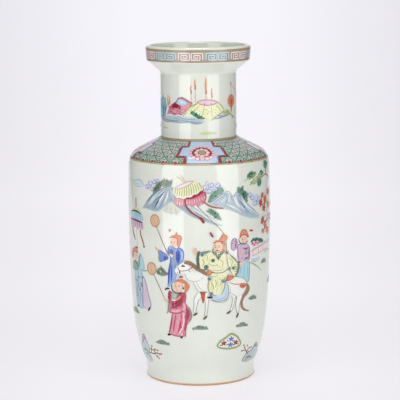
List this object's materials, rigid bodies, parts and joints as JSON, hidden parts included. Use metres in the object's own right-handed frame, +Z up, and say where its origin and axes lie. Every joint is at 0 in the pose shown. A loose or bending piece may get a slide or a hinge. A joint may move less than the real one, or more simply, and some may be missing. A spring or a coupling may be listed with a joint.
{
  "type": "porcelain vase",
  "caption": "Tall rouleau-shaped porcelain vase with a cylindrical neck, dished mouth and low foot, standing free, with enamel bands on lip and shoulder.",
  "frame": {"origin": "centre of the level face that the foot ring stands on", "axes": "+Z up along the vase's axis of revolution; -Y is the painted front, with the middle of the front blue panel 3 degrees towards +X"},
  "size_m": [0.1922, 0.1922, 0.452],
  "materials": {
    "glazed_porcelain": "clear gloss glaze with a faint grey-green tint over white porcelain",
    "fret_enamel": "gloss overglaze enamel",
    "brown_enamel": "gloss overglaze enamel",
    "green_enamel": "gloss overglaze enamel",
    "blue_enamel": "gloss overglaze enamel"
  },
  "bodies": {
    "root": {"foot_ring": "glazed_porcelain", "base_disc": "glazed_porcelain", "lower_body": "glazed_porcelain", "upper_body": "glazed_porcelain", "shoulder": "glazed_porcelain", "neck": "glazed_porcelain", "mouth": "glazed_porcelain", "lip_fret_ground": "fret_enamel", "lip_top_line": "brown_enamel", "lip_low_line": "brown_enamel", "neck_line": "brown_enamel", "shoulder_edge_line": "brown_enamel", "diaper_ground_1": "green_enamel", "diaper_ground_2": "green_enamel", "diaper_ground_3": "green_enamel", "diaper_ground_4": "green_enamel", "blue_panel_1": "blue_enamel", "blue_panel_2": "blue_enamel", "blue_panel_3": "blue_enamel", "blue_panel_4": "blue_enamel"}
  },
  "joints": []
}
